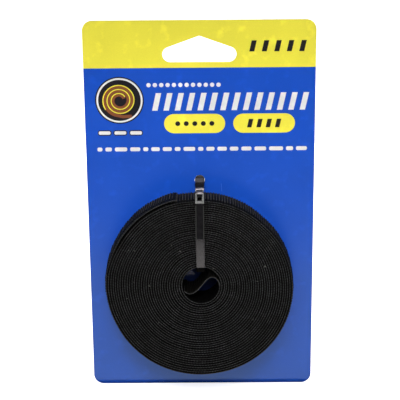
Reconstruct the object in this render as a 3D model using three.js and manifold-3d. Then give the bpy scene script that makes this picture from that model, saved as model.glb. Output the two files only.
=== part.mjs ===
// A carded roll of hook and loop tape: a printed header card with a delta hang hole,
// a flat winding of double-sided tape, and a cable tie that straps the roll to the card.
// Millimetres. X runs to the right and Z up as a shopper sees the card, and Y runs into it.
// The origin is the top of the hang hole, midway through the card, where a peg carries it.
import * as THREE from "three";
import { mergeVertices } from "three/addons/utils/BufferGeometryUtils.js";
import Module from "manifold-3d";

const wasm = await Module();
wasm.setup();

// Header card
const cardWidth = 88.9;
const cardHeight = 152.4;
const cardThickness = 0.6;
const cardCornerRadius = 4;

// Delta hang hole: two round lobes and a blunt point between them
const hangHoleWidth = 28.3;
const hangHoleHeight = 10.2;
const hangHoleLobeRadius = 3;
const hangHolePointRadius = 1;
const hangHoleTopMargin = 6.2;

// Tape winding
const tapeWidth = 12.7;
const tapeThickness = 0.75;
const rollRadius = 37.4;
const boreRadius = 6.9;
const rollDrop = 98.5;
const rollShiftLeft = 0.7;
const boreShiftRight = 0.7;
const boreShiftUp = 1.1;
const wholeTurns = 23;
const windingStartAngle = THREE.MathUtils.degToRad(90);
const windingEndAngle = THREE.MathUtils.degToRad(346);
const rollToCardGap = 0.3;

// The free inner end of the tape crosses the bore in an S. Its points go from the innermost
// turn to the tip, as shares of the innermost turn's own radius, to the right and up.
const innerEndShares = [
  [0.94, 0.31],
  [0.78, 0.5],
  [0.57, 0.55],
  [0.36, 0.44],
  [0.17, 0.22],
  [-0.01, -0.02],
  [-0.22, -0.27],
  [-0.44, -0.43],
  [-0.65, -0.46],
  [-0.82, -0.39],
];

// Cable tie strap
const strapWidth = 3.6;
const strapThickness = 1.1;
const strapShiftLeft = 0.3;
const strapClearance = 0.3;
const railWidth = 0.6;
const toothPitch = 1.2;
const toothDepth = 0.4;
const sharpBendInside = 0.4;
const bulgeBendRadius = 1.8;
const easyBendRadius = 12;
const tailBendRadius = 1.2;
const bulgeReach = 5;
const bulgeFoot = 11;
const smoothLength = 33;
const panelLength = 14;
const panelDepth = 0.2;
const panelInset = 0.6;

// Punched holes that the strap passes through
const tieHoleClearance = 0.3;
const upperHoleRise = 3.3;

// Cable tie head
const headDepth = 5.5;
const headHeight = 4.25;
const headProud = 0.5;
const headRootDrop = 0.55;
const headChamfer = 0.4;
const headRoof = 0.6;
const headSideWall = 0.2;
const headSeatGap = 0.3;
const slotPlay = 0.1;
const tailInset = 0.35;

// Locking tongue in the head
const pawlWidth = 1.9;
const pawlRoom = 1.7;
const pawlThickness = 0.7;
const pawlPlay = 0.15;
const pawlSeatGap = 0.3;
const pawlBackWall = 1;
const pawlTeeth = 2;

// Facets
const turnSteps = 30;
const innerEndSteps = 26;
const cornerSegments = 7;
const pawlRootSegments = 6;
const bendStepAngle = THREE.MathUtils.degToRad(15);
const overrun = 1;
const grooveOverrun = 0.3;

// Shares of a tooth's pitch that its steep face and its flat crest take
const steepShare = 0.1;
const landShare = 0.1;

// Places that the pieces share
const cardFront = -cardThickness / 2;
const cardBack = cardThickness / 2;
const rollBack = cardFront - rollToCardGap;
const rollFront = rollBack - tapeWidth;
const rollCentre = new THREE.Vector2(-rollShiftLeft, -rollDrop);
const boreCentre = new THREE.Vector2(boreShiftRight - rollShiftLeft, boreShiftUp - rollDrop);
const windingAngle = 2 * Math.PI * wholeTurns + windingEndAngle - windingStartAngle;
const firstRadius = boreRadius + tapeThickness / 2;
const lastRadius = rollRadius - tapeThickness / 2;
const radiusPerRadian = (lastRadius - firstRadius) / windingAngle;

// The middle of the tape on the winding, at an angle unrolled from where the first turn starts.
function windingPoint(angle) {
  const radius = firstRadius + radiusPerRadian * angle;
  const centre = boreCentre.clone().lerp(rollCentre, angle / windingAngle);
  const clockwise = windingStartAngle + angle;
  return centre.add(new THREE.Vector2(Math.sin(clockwise), Math.cos(clockwise)).multiplyScalar(radius));
}

// Heights of the bore's roof and of the rim at the top, where the strap passes. The roof is
// taken two facets early, where the strap's edge is nearest to it.
const turnStepAngle = 2 * Math.PI / turnSteps;
const firstTop = 2 * Math.PI - windingStartAngle;
const lastTop = 2 * Math.PI * wholeTurns - windingStartAngle;
const roofPoint = windingPoint(firstTop - 2 * turnStepAngle);
const boreRoofRadius = (roofPoint.distanceTo(boreCentre) - tapeThickness / 2) * Math.cos(turnStepAngle / 2);
const rimTop = windingPoint(lastTop).y + tapeThickness / 2;
const strapFarEdge = strapWidth / 2 + Math.abs(strapShiftLeft + boreCentre.x);
const boreRoof = boreCentre.y + Math.sqrt(boreRoofRadius ** 2 - strapFarEdge ** 2);

// Strap centre line levels
const boreRunZ = boreRoof - strapClearance - strapThickness / 2;
const frontRunY = rollFront - strapClearance - strapThickness / 2;
const backRunY = cardBack + strapClearance + strapThickness / 2;
const sharpBend = strapThickness / 2 + sharpBendInside;
const headFloor = rimTop + headSeatGap;
const headTop = headFloor + headHeight;
const headFront = frontRunY - strapThickness / 2 - headProud;
const headBack = headFront + headDepth;
const slotTop = headTop - headRoof;
const slotZ = slotTop - slotPlay - strapThickness / 2;
const slotBottom = slotZ - strapThickness / 2 - slotPlay;
const headWidth = strapWidth + 2 * (slotPlay + headSideWall);
const tailTip = headFront + tailInset;
const upperHoleZ = rollCentre.y + rollRadius + upperHoleRise;
const pawlRoomFloor = slotBottom - pawlRoom;
const pawlRoomBack = headBack - pawlBackWall;

// The strap crosses the card at 45 degrees, so it needs a hole this wide.
const crossingHeight = strapThickness * Math.SQRT2 + cardThickness;
const tieHoleRadius = Math.hypot(strapWidth, crossingHeight) / 2 + tieHoleClearance;

function addMesh(group, name, geometry, material) {
  const mesh = new THREE.Mesh(geometry, material);
  mesh.name = name;
  group.add(mesh);
}

// Solids for the joins and cuts on the cable tie
function solidFrom(geometry) {
  const bare = geometry.clone().deleteAttribute("normal").deleteAttribute("uv");
  const merged = mergeVertices(bare);
  const triVerts = new Uint32Array(merged.index.array);
  return new wasm.Manifold(
    new wasm.Mesh({ numProp: 3, vertProperties: merged.attributes.position.array, triVerts }),
  );
}

function geometryFrom(solid) {
  const mesh = solid.getMesh();
  const geometry = new THREE.BufferGeometry();
  geometry.setAttribute("position", new THREE.BufferAttribute(mesh.vertProperties, mesh.numProp));
  geometry.setIndex(new THREE.BufferAttribute(mesh.triVerts, 1));
  geometry.computeVertexNormals();
  return geometry;
}

// Stands a shape drawn flat up in X and Z, as deep as asked, about the plane Y = 0.
function standUp(shape, depth, segments) {
  const geometry = new THREE.ExtrudeGeometry(shape, { depth, bevelEnabled: false, curveSegments: segments });
  return geometry.translate(0, 0, -depth / 2).rotateX(Math.PI / 2);
}

// Makes a side view drawn in Y and Z a solid, as wide as asked, about the strap's middle.
function sideways(points, width) {
  const shape = new THREE.Shape(points);
  const geometry = new THREE.ExtrudeGeometry(shape, { depth: width, bevelEnabled: false });
  const turn = new THREE.Matrix4().makeBasis(
    new THREE.Vector3(0, 1, 0),
    new THREE.Vector3(0, 0, 1),
    new THREE.Vector3(1, 0, 0),
  );
  geometry.translate(0, 0, -width / 2).applyMatrix4(turn).translate(-strapShiftLeft, 0, 0);
  return solidFrom(geometry);
}

function rectangle(y0, y1, z0, z1) {
  return [
    new THREE.Vector2(y0, z0),
    new THREE.Vector2(y1, z0),
    new THREE.Vector2(y1, z1),
    new THREE.Vector2(y0, z1),
  ];
}

// Header card
function cardOutline() {
  const right = cardWidth / 2;
  const top = hangHoleTopMargin;
  const bottom = top - cardHeight;
  const r = cardCornerRadius;
  const shape = new THREE.Shape();
  shape.absarc(right - r, top - r, r, 0, Math.PI / 2);
  shape.absarc(r - right, top - r, r, Math.PI / 2, Math.PI);
  shape.absarc(r - right, bottom + r, r, Math.PI, 1.5 * Math.PI);
  shape.absarc(right - r, bottom + r, r, 1.5 * Math.PI, 2 * Math.PI);
  return shape;
}

// The hang hole is the outline round three circles: the blunt point and a lobe on each side.
function hangHole() {
  const lobeX = hangHoleWidth / 2 - hangHoleLobeRadius;
  const lobeZ = hangHoleLobeRadius - hangHoleHeight;
  const pointZ = -hangHolePointRadius;
  const fall = pointZ - lobeZ;
  const slope = Math.atan2(fall, lobeX);
  const widening = Math.asin((hangHoleLobeRadius - hangHolePointRadius) / Math.hypot(lobeX, fall));
  const tangent = Math.PI / 2 - slope + widening;
  const path = new THREE.Path();
  path.absarc(0, pointZ, hangHolePointRadius, tangent, Math.PI - tangent);
  path.absarc(-lobeX, lobeZ, hangHoleLobeRadius, Math.PI - tangent, 1.5 * Math.PI);
  path.absarc(lobeX, lobeZ, hangHoleLobeRadius, 1.5 * Math.PI, 2 * Math.PI + tangent);
  return path;
}

function roundHole(x, z) {
  const path = new THREE.Path();
  path.absarc(x, z, tieHoleRadius, 0, 2 * Math.PI);
  return path;
}

function headerCard() {
  const shape = cardOutline();
  shape.holes.push(hangHole(), roundHole(-strapShiftLeft, upperHoleZ), roundHole(-strapShiftLeft, boreRunZ));
  return standUp(shape, cardThickness, cornerSegments);
}

// Tape winding: one unbroken strip, from the tip of its inner end to its outer end
function tapePath() {
  const innerEnd = innerEndShares.map(([right, up]) =>
    new THREE.Vector3(boreCentre.x + right * firstRadius, boreCentre.y + up * firstRadius, 0));
  const lead = [windingPoint(turnStepAngle), windingPoint(0)].map((p) => new THREE.Vector3(p.x, p.y, 0));
  const curve = new THREE.CatmullRomCurve3([...lead, ...innerEnd], false, "centripetal");
  const leadShare = 1 / (innerEnd.length + 1);
  const points = [];
  for (let i = 0; i <= innerEndSteps; i++) {
    const p = curve.getPoint(1 - (1 - leadShare) * i / innerEndSteps);
    points.push(new THREE.Vector2(p.x, p.y));
  }
  for (let angle = turnStepAngle; angle < windingAngle; angle += turnStepAngle) points.push(windingPoint(angle));
  points.push(windingPoint(windingAngle));
  return points;
}

// The side of a path that lies to the right of its way, at each of its points.
function normalsOf(points) {
  return points.map((p, i) => {
    const before = points[Math.max(i - 1, 0)];
    const after = points[Math.min(i + 1, points.length - 1)];
    const along = after.clone().sub(before).normalize();
    return new THREE.Vector2(along.y, -along.x);
  });
}

function distanceToPiece(p, a, b) {
  const piece = b.clone().sub(a);
  const share = THREE.MathUtils.clamp(p.clone().sub(a).dot(piece) / piece.lengthSq(), 0, 1);
  return p.distanceTo(a.clone().addScaledVector(piece, share));
}

// The least gap between two stretches of the tape that lie beside each other.
function leastGap(points) {
  const apart = 4 * tapeThickness;
  const along = [0];
  for (let i = 1; i < points.length; i++) along.push(along[i - 1] + points[i].distanceTo(points[i - 1]));
  let least = Infinity;
  for (let i = 0; i < points.length; i++) {
    for (let j = 0; j < points.length - 1; j++) {
      if (Math.min(Math.abs(along[j] - along[i]), Math.abs(along[j + 1] - along[i])) < apart) continue;
      least = Math.min(least, distanceToPiece(points[i], points[j], points[j + 1]));
    }
  }
  return least - tapeThickness;
}

function tapeRoll() {
  const points = tapePath();
  const normals = normalsOf(points);
  console.log("least gap between turns of the tape: " + leastGap(points).toFixed(3) + " mm");
  const positions = [];
  const index = [];
  points.forEach((p, i) => {
    for (const [side, y] of [[1, rollFront], [-1, rollFront], [-1, rollBack], [1, rollBack]]) {
      const edge = p.clone().addScaledVector(normals[i], side * tapeThickness / 2);
      positions.push(edge.x, y, edge.y);
    }
  });
  const corners = 4;
  for (let i = 0; i < points.length - 1; i++) {
    for (let k = 0; k < corners; k++) {
      const a = i * corners + k;
      const b = i * corners + (k + 1) % corners;
      index.push(a, b + corners, b, a, a + corners, b + corners);
    }
  }
  const last = (points.length - 1) * corners;
  index.push(0, 1, 2, 0, 2, 3);
  index.push(last, last + 2, last + 1, last, last + 3, last + 2);
  const geometry = new THREE.BufferGeometry();
  geometry.setAttribute("position", new THREE.Float32BufferAttribute(positions, 3));
  geometry.setIndex(index);
  geometry.computeVertexNormals();
  return geometry;
}

// A run of straight stretches in Y and Z with rounded corners.
function roundedRun(corners) {
  const points = [corners[0].at];
  for (let i = 1; i < corners.length - 1; i++) {
    const { at, bend } = corners[i];
    const into = at.clone().sub(corners[i - 1].at).normalize();
    const out = corners[i + 1].at.clone().sub(at).normalize();
    const turn = Math.acos(THREE.MathUtils.clamp(into.dot(out), -1, 1));
    const hand = Math.sign(into.cross(out));
    const start = at.clone().addScaledVector(into, -bend * Math.tan(turn / 2));
    const centre = start.clone().add(new THREE.Vector2(-into.y, into.x).multiplyScalar(hand * bend));
    const steps = Math.max(2, Math.ceil(turn / bendStepAngle));
    for (let k = 0; k <= steps; k++) {
      points.push(start.clone().rotateAround(centre, hand * turn * k / steps));
    }
  }
  points.push(corners[corners.length - 1].at);
  return points;
}

// Cable tie. From the tail's tip in the head the strap goes back over the rim, up through the
// upper hole, down behind the card, forward through the bore, and up the roll's face to the head.
function strapRun() {
  return roundedRun([
    { at: new THREE.Vector2(tailTip, slotZ) },
    { at: new THREE.Vector2(slotZ - upperHoleZ, slotZ), bend: tailBendRadius },
    { at: new THREE.Vector2(bulgeReach, upperHoleZ + bulgeReach), bend: bulgeBendRadius },
    { at: new THREE.Vector2(backRunY, upperHoleZ - bulgeFoot), bend: easyBendRadius },
    { at: new THREE.Vector2(backRunY, boreRunZ), bend: sharpBend },
    { at: new THREE.Vector2(frontRunY, boreRunZ), bend: sharpBend },
    { at: new THREE.Vector2(frontRunY, headFloor) },
  ]);
}

function bandOutline(points) {
  const normals = normalsOf(points);
  const half = strapThickness / 2;
  const smooth = points.map((p, i) => p.clone().addScaledVector(normals[i], -half));
  const toothed = points.map((p, i) => p.clone().addScaledVector(normals[i], half));
  return [...smooth, ...toothed.reverse()];
}

function lengthOf(points) {
  return points.reduce((sum, p, i) => sum + (i ? p.distanceTo(points[i - 1]) : 0), 0);
}

// The place and the way of a run at a distance from its start.
function placeOnRun(points, distance) {
  let left = distance;
  for (let i = 1; i < points.length; i++) {
    const piece = points[i].clone().sub(points[i - 1]);
    if (left <= piece.length()) {
      const way = piece.clone().normalize();
      return { at: points[i - 1].clone().addScaledVector(way, left), way };
    }
    left -= piece.length();
  }
  return { at: points[points.length - 1].clone(), way: new THREE.Vector2(0, 1) };
}

// A place at a distance along a run, as high as asked over the strap's toothed side.
function overTeeth(points, distance, height) {
  const { at, way } = placeOnRun(points, distance);
  const out = new THREE.Vector2(way.y, -way.x);
  return at.addScaledVector(out, strapThickness / 2 + height);
}

// The gap between two teeth is steep towards the tail's tip, so that the strap never goes back.
function toothGap(points, start) {
  const deep = start + steepShare * toothPitch;
  const end = start + (1 - landShare) * toothPitch;
  return sideways([
    overTeeth(points, start, 0),
    overTeeth(points, deep, -toothDepth),
    overTeeth(points, end, 0),
    overTeeth(points, end, grooveOverrun),
    overTeeth(points, start, grooveOverrun),
  ], strapWidth - 2 * railWidth);
}

function strap() {
  const points = strapRun();
  let band = sideways(bandOutline(points), strapWidth);
  const toothedLength = lengthOf(points) - smoothLength - toothPitch;
  for (let start = toothPitch; start < toothedLength; start += toothPitch) {
    band = band.subtract(toothGap(points, start));
  }
  const half = strapThickness / 2;
  const panelTop = headFloor - headRootDrop - panelInset;
  const strapFace = frontRunY - half;
  const panel = sideways(
    rectangle(strapFace - overrun, strapFace + panelDepth, panelTop - panelLength, panelTop),
    strapWidth - 2 * railWidth,
  );
  return band.subtract(panel);
}

function head() {
  const skirt = headFloor - headRootDrop;
  const strapBack = frontRunY + strapThickness / 2;
  const c = headChamfer;
  const block = sideways([
    new THREE.Vector2(headFront + c, skirt),
    new THREE.Vector2(strapBack, skirt),
    new THREE.Vector2(strapBack, headFloor),
    new THREE.Vector2(headBack, headFloor),
    new THREE.Vector2(headBack, headTop - c),
    new THREE.Vector2(headBack - c, headTop),
    new THREE.Vector2(headFront + c, headTop),
    new THREE.Vector2(headFront, headTop - c),
    new THREE.Vector2(headFront, skirt + c),
  ], headWidth);
  const slot = sideways(
    rectangle(headFront - overrun, headBack + overrun, slotBottom, slotTop),
    strapWidth + 2 * slotPlay,
  );
  const room = sideways(
    rectangle(headFront - overrun, pawlRoomBack, pawlRoomFloor, slotBottom + slotPlay),
    pawlWidth + 2 * pawlPlay,
  );
  return block.subtract(slot).subtract(room);
}

// The tongue's teeth sit in the strap's teeth, with some play, and its round root is at the back.
const pawlPivot = new THREE.Vector2(
  pawlRoomBack - pawlSeatGap - pawlThickness / 2,
  slotBottom - pawlThickness / 2 - pawlSeatGap,
);

function pawl() {
  const underStrap = slotZ - strapThickness / 2;
  const base = underStrap - pawlPlay;
  const tip = underStrap + toothDepth - pawlPlay;
  const top = [];
  for (let tooth = 0; tooth < pawlTeeth; tooth++) {
    const crest = tailTip + (tooth + 1) * toothPitch;
    const steep = crest + steepShare * toothPitch + pawlPlay;
    top.push(new THREE.Vector2(steep, base), new THREE.Vector2(steep, tip));
    top.push(new THREE.Vector2(crest + toothPitch, base));
  }
  const root = new THREE.EllipseCurve(
    pawlPivot.x, pawlPivot.y, pawlThickness / 2, pawlThickness / 2, Math.PI / 2, -Math.PI / 2, true,
  );
  const nose = new THREE.Vector2(top[0].x, base - pawlThickness);
  return sideways([...top, ...root.getPoints(pawlRootSegments), nose], pawlWidth);
}

// Colours and finishes
const boardBlue = new THREE.MeshStandardMaterial({ color: 0x2453bf, roughness: 0.35, metalness: 0 });
const tapeBlack = new THREE.MeshStandardMaterial({ color: 0x131314, roughness: 0.95, metalness: 0 });
const tieBlack = new THREE.MeshStandardMaterial({ color: 0x18181a, roughness: 0.3, metalness: 0 });
const pawlBlack = new THREE.MeshStandardMaterial({ color: 0x1b1b1d, roughness: 0.3, metalness: 0 });

const group = new THREE.Group();
addMesh(group, "backing_card", headerCard(), boardBlue);
addMesh(group, "tape_roll", tapeRoll(), tapeBlack);
addMesh(group, "cable_tie", geometryFrom(head().add(strap())), tieBlack);
addMesh(group, "tie_pawl", geometryFrom(pawl()), pawlBlack);

console.log("top of the rim: " + rimTop.toFixed(3) + ", bore roof: " + boreRoof.toFixed(3));
console.log("roll axis: " + boreCentre.x.toFixed(3) + ", " + boreCentre.y.toFixed(3));
console.log("tongue axis: " + pawlPivot.x.toFixed(3) + ", " + pawlPivot.y.toFixed(3));

export default group;
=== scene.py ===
import math

import bmesh
import bpy
import numpy as np
from mathutils import Matrix, Vector
from mathutils.geometry import delaunay_2d_cdt

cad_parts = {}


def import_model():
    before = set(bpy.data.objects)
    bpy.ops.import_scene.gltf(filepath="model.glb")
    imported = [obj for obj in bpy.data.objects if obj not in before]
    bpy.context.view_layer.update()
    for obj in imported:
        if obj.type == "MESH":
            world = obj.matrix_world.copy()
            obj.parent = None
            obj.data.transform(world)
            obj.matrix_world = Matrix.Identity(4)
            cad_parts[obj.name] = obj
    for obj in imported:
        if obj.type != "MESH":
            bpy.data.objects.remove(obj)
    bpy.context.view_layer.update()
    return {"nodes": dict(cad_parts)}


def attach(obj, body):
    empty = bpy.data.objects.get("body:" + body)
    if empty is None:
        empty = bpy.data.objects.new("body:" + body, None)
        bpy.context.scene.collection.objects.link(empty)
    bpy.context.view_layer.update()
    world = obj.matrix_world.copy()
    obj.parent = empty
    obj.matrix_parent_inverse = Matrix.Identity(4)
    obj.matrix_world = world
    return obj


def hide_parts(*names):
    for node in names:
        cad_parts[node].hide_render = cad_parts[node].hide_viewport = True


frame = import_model()

# Sizes are in millimetres in the shared frame. MM brings them to metres.
MM = 0.001
rng = np.random.default_rng(7)


# Node materials

# The sockets of a colour mix node, whose names repeat.
MIX_FACTOR, MIX_A, MIX_B, MIX_RESULT = 0, 6, 7, 2
# A wave texture at a scale of 1 turns through this many radians in a metre.
WAVE_RADIANS = 20


def fill_ramp(node, stops):
    """Sets a ramp node's colours or greys, each with its place."""
    elements = node.color_ramp.elements
    while len(elements) < len(stops):
        elements.new(0.5)
    for element, (position, value) in zip(elements, stops):
        element.position = position
        element.color = (*value, 1) if isinstance(value, tuple) else (value, value, value, 1)


class Finish:
    """A Principled material, and shorthands for the nodes that vary it."""

    def __init__(self, name, roughness, specular, **fixed):
        self.material = bpy.data.materials.new(name)
        self.material.use_nodes = True
        self.nodes = self.material.node_tree.nodes
        self.links = self.material.node_tree.links
        self.shader = self.nodes["Principled BSDF"]
        self.shader.inputs["Specular IOR Level"].default_value = specular
        self.shader.inputs["Roughness"].default_value = roughness
        for socket, value in fixed.items():
            self.shader.inputs[socket.replace("_", " ")].default_value = value
        self.place = self.nodes.new("ShaderNodeTexCoord")

    def link(self, output, node, socket):
        self.links.new(output, node.inputs[socket])

    def noise(self, size, detail=3.0, stretch=None):
        """Noise whose blobs are about that many millimetres wide."""
        texture = self.nodes.new("ShaderNodeTexNoise")
        texture.inputs["Scale"].default_value = 1 / (size * MM)
        texture.inputs["Detail"].default_value = detail
        vector = self.place.outputs["Object"]
        if stretch:
            mapping = self.nodes.new("ShaderNodeMapping")
            mapping.inputs["Scale"].default_value = stretch
            self.link(vector, mapping, "Vector")
            vector = mapping.outputs["Vector"]
        self.link(vector, texture, "Vector")
        return texture.outputs["Fac"]

    def waves(self, pitch, distortion):
        """Bands across the UV map's first axis, whose unit is a metre."""
        texture = self.nodes.new("ShaderNodeTexWave")
        texture.bands_direction = "X"
        texture.inputs["Scale"].default_value = 2 * math.pi / (WAVE_RADIANS * pitch * MM)
        texture.inputs["Distortion"].default_value = distortion
        texture.inputs["Detail"].default_value = 2
        self.link(self.place.outputs["UV"], texture, "Vector")
        return texture.outputs["Fac"]

    def ramp(self, factor, *stops):
        """Colours or greys at places along a factor."""
        node = self.nodes.new("ShaderNodeValToRGB")
        fill_ramp(node, stops)
        self.link(factor, node, "Fac")
        return node.outputs["Color"]

    def cloud(self, size, *stops, **options):
        """Colours or greys at places along a noise."""
        return self.ramp(self.noise(size, **options), *stops)

    def product(self, first, *others):
        """Colours multiplied together."""
        for other in others:
            node = self.nodes.new("ShaderNodeMix")
            node.data_type = "RGBA"
            node.blend_type = "MULTIPLY"
            node.inputs[MIX_FACTOR].default_value = 1.0
            self.link(first, node, MIX_A)
            self.link(other, node, MIX_B)
            first = node.outputs[MIX_RESULT]
        return first

    def colour(self, output):
        self.link(output, self.shader, "Base Color")

    def roughness(self, output):
        self.link(output, self.shader, "Roughness")

    def bump(self, height, distance, strength=1.0):
        """Relief of so many millimetres, and the finished material."""
        node = self.nodes.new("ShaderNodeBump")
        node.inputs["Strength"].default_value = strength
        node.inputs["Distance"].default_value = distance * MM
        self.link(height, node, "Height")
        self.link(node.outputs["Normal"], self.shader, "Normal")
        return self.material


def shade(rgb, share):
    return tuple(c * share for c in rgb)


# Meshes

def piece(name, vertices, faces, materials, slots=None, uvs=None, sharp=None, weld=0, closed=True):
    """A mesh object from millimetres. slots gives each face's material and uvs each point's place.
    Edges sharper than so many degrees stay hard. Points closer than weld are joined."""
    mesh = bpy.data.meshes.new(name)
    mesh.from_pydata((np.asarray(vertices, float) * MM).tolist(), [], [list(map(int, f)) for f in faces])
    for m in materials:
        mesh.materials.append(m)
    if slots is not None:
        mesh.polygons.foreach_set("material_index", np.asarray(slots, np.int32))
    if uvs is not None:
        layer = mesh.uv_layers.new(name="UVMap")
        corners = np.zeros(len(mesh.loops), np.int32)
        mesh.loops.foreach_get("vertex_index", corners)
        layer.data.foreach_set("uv", np.asarray(uvs, float)[corners].ravel())
    mesh.validate()
    if sharp is not None:
        smooth(mesh, sharp)
    if closed:
        face_outward(mesh, weld)
    made = bpy.data.objects.new(name, mesh)
    bpy.context.scene.collection.objects.link(made)
    return made


def smooth(mesh, sharp):
    mesh.polygons.foreach_set("use_smooth", [True] * len(mesh.polygons))
    mesh.set_sharp_from_angle(angle=math.radians(sharp))


def face_outward(mesh, weld):
    bm = bmesh.new()
    bm.from_mesh(mesh)
    if weld:
        bmesh.ops.remove_doubles(bm, verts=bm.verts, dist=weld * MM)
    bmesh.ops.recalc_face_normals(bm, faces=bm.faces)
    bm.to_mesh(mesh)
    bm.free()


def bridge(first, count, around, closed_ends=True):
    """Faces between rings of points, numbered from first on, and over both ends."""
    rings = first + np.arange(count * around).reshape(count, around)
    a, b = rings[:-1], rings[1:]
    faces = np.stack([a, np.roll(a, -1, 1), np.roll(b, -1, 1), b], axis=-1).reshape(-1, 4).tolist()
    if closed_ends:
        faces += [rings[0][::-1].tolist(), rings[-1].tolist()]
    return faces


def unit(ways):
    return ways / np.linalg.norm(ways, axis=-1, keepdims=True)


def left_and_along(line):
    """The ways to a line's left and along it, at each of its points."""
    along = unit(np.gradient(line, axis=0))
    return np.stack([-along[:, 1], along[:, 0]], 1), along


def lengths_along(line):
    """How far along a line each of its points is."""
    return np.concatenate([[0], np.cumsum(np.linalg.norm(np.diff(line, axis=0), axis=1))])


def points_at(places, along, line):
    """The points that far along a line."""
    return np.stack([np.interp(places, along, line[:, k]) for k in (0, 1)], 1)


# Header card

# Half the card's width, its top and bottom, half its thickness, its corners and its edges' chamfer.
CARD_X = 44.45
CARD_TOP, CARD_BOTTOM = 6.2, -146.2
CARD_HALF = 0.3
CARD_CORNER = 4.0
CARD_EDGE = 0.05
HEADER_Z = -12.43
HOLE_LOBE_X, HOLE_LOBE_Z, HOLE_LOBE_R = 11.15, -7.2, 3.0
HOLE_POINT_Z, HOLE_POINT_R = -1.0, 1.0
TIE_X = -0.3
TIE_HOLE_R = 2.0
UPPER_HOLE_Z, LOWER_HOLE_Z = -57.8, -90.82
SCRATCH = [(8.0, -59.3), (8.25, -59.4), (8.4, -62.5), (8.2, -62.6)]
# Points closer than this become one.
WELD = 1e-4


def printed(name, rgb, specular=0.25, roughness=0.3, tint=(1, 1, 1, 1)):
    """Ink under thin varnish, a little uneven, with the board's faint grain."""
    f = Finish(name, roughness, specular, Specular_Tint=tint)
    tone = f.cloud(22, (0.3, shade(rgb, 0.95)), (0.7, shade(rgb, 1.05)), detail=2)
    speck = f.cloud(0.35, (0.3, 0.94), (0.7, 1.0), detail=2)
    wear = f.cloud(5, (0.55, 1.0), (0.72, 1.14), detail=8)
    f.colour(f.product(tone, speck, wear))
    f.roughness(f.cloud(6, (0.25, roughness - 0.02), (0.75, roughness + 0.05)))
    return f.bump(f.noise(0.5, detail=4), distance=0.008, strength=0.35)


def bare_board(name, rgb):
    """Uncoated board: short fibres and a few grey flecks."""
    f = Finish(name, roughness=0.85, specular=0.2)
    fibres = f.cloud(0.8, (0.35, shade(rgb, 0.9)), (0.6, rgb), detail=6, stretch=(1, 1, 0.3))
    flecks = f.cloud(1.1, (0.7, 1.0), (0.78, 0.82), detail=1)
    f.colour(f.product(fibres, flecks))
    return f.bump(f.noise(0.3, detail=5), distance=0.03, strength=0.6)


INKS = {
    "yellow": printed("ink_yellow", (0.93, 0.83, 0.07)),
    "blue": printed("ink_blue", (0.009, 0.079, 0.54), specular=0.3, tint=(0.85, 1, 0.5, 1)),
    "white": printed("ink_white", (0.8, 0.8, 0.77)),
    "black": printed("ink_black", (0.012, 0.01, 0.014)),
    "brown": printed("ink_brown", (0.24, 0.075, 0.03)),
    "scuff": printed("ink_scuffed", (0.05, 0.15, 0.66), roughness=0.5),
    # Painted shade: a darker blue for the card behind the roll's bore.
    "bore_shade": printed("ink_painted_shade", (0.003, 0.02, 0.11), roughness=0.6),
}
BOARD = bare_board("board_core", (0.86, 0.85, 0.8))


def spiral(x, z, r0, r1, start, turn, steps=90):
    """Points on a spiral about (x, z), from one radius to another."""
    points = []
    for i in range(steps + 1):
        a = start + turn * i / steps
        r = r0 + (r1 - r0) * i / steps
        points.append((x + r * math.cos(a), z + r * math.sin(a)))
    return points


def arc(x, z, r, start, end, steps):
    return spiral(x, z, r, r, start, end - start, steps)


def rounded(x0, x1, z0, z1, r, steps=14):
    quarter = math.pi / 2
    centres = [(x1 - r, z1 - r), (x0 + r, z1 - r), (x0 + r, z0 + r), (x1 - r, z0 + r)]
    points = []
    for i, (x, z) in enumerate(centres):
        points += arc(x, z, r, i * quarter, (i + 1) * quarter, steps)
    return points


def circle(x, z, r, steps=48):
    return arc(x, z, r, 0, 2 * math.pi, steps)[:-1]


def hang_hole(grow, point_steps=8, lobe_steps=24):
    """The delta hang hole, widened by grow: two round lobes, a round point and their tangents."""
    fall = HOLE_POINT_Z - HOLE_LOBE_Z
    slope = math.atan2(fall, HOLE_LOBE_X)
    widening = math.asin((HOLE_LOBE_R - HOLE_POINT_R) / math.hypot(HOLE_LOBE_X, fall))
    tangent = math.pi / 2 - slope + widening
    lobe = HOLE_LOBE_R + grow
    return (
        arc(0, HOLE_POINT_Z, HOLE_POINT_R + grow, tangent, math.pi - tangent, point_steps)
        + arc(-HOLE_LOBE_X, HOLE_LOBE_Z, lobe, math.pi - tangent, 1.5 * math.pi, lobe_steps)
        + arc(HOLE_LOBE_X, HOLE_LOBE_Z, lobe, -math.pi / 2, tangent, lobe_steps)
    )


def bars(ink, count, x, pitch, foot, top, width, lean_share=0.22):
    """A row of leaning bars, from the first one's middle."""
    shift = (top - foot) * lean_share / 2
    half = width / 2
    marks = []
    for i in range(count):
        mid = x + pitch * i
        bar = [(mid - half - shift, foot), (mid + half - shift, foot),
               (mid + half + shift, top), (mid - half + shift, top)]
        marks.append((bar, ink))
    return marks


def dots(ink, count, x, pitch, z, radius, steps):
    """A row of dots, from the first one's middle."""
    return [(circle(x + pitch * i, z, radius, steps), ink) for i in range(count)]


def stroke(points, width):
    """The outline of a line as wide as asked."""
    p = np.array(points, float)
    across = left_and_along(p)[0] * width / 2
    return [tuple(q) for q in np.vstack([p + across, (p - across)[::-1]])]


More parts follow.
